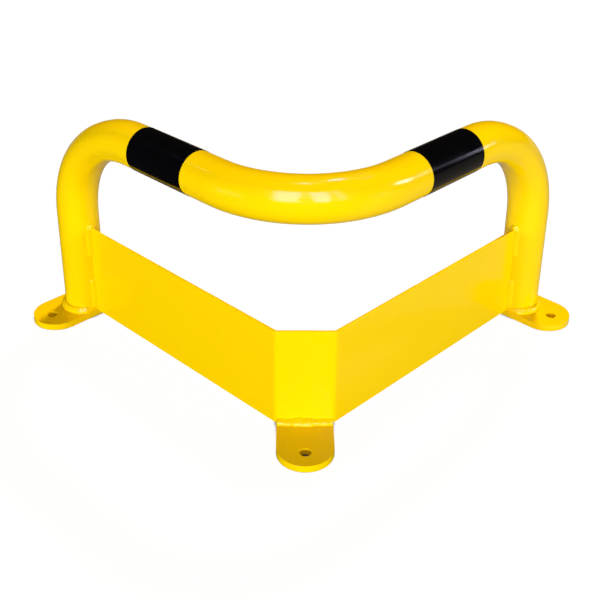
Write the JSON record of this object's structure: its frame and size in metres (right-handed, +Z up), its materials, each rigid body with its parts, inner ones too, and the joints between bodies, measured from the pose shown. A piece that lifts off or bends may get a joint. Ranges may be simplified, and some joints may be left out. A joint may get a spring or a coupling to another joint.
{
  "type": "corner protection guard",
  "caption": "Low tubular corner guard with a folded underrun plate between its legs, drilled foot plates and black bands on yellow paint.",
  "frame": {"origin": "on the floor, under the middle of the guard's outline", "axes": "+Z up, +X from the left leg to the right leg, the guard's corner points towards -Y and what it protects stands on its +Y side"},
  "size_m": [1.0264, 0.5476, 0.4387],
  "materials": {
    "yellow_paint": "glossy powder coat",
    "black_film": "glossy"
  },
  "bodies": {
    "root": {"guard_tube": "yellow_paint", "underrun_plate": "yellow_paint", "foot_plate_left": "yellow_paint", "foot_plate_right": "yellow_paint", "foot_plate_front": "yellow_paint", "black_band_left": "black_film", "black_band_right": "black_film", "base_weld_left": "yellow_paint", "base_weld_right": "yellow_paint", "front_weld_outer": "yellow_paint", "front_weld_inner": "yellow_paint", "stitch_weld_left_outer_upper": "yellow_paint", "stitch_weld_left_outer_lower": "yellow_paint", "stitch_weld_left_inner_upper": "yellow_paint", "stitch_weld_left_inner_lower": "yellow_paint", "stitch_weld_right_outer_upper": "yellow_paint", "stitch_weld_right_outer_lower": "yellow_paint", "stitch_weld_right_inner_upper": "yellow_paint", "stitch_weld_right_inner_lower": "yellow_paint"}
  },
  "joints": []
}
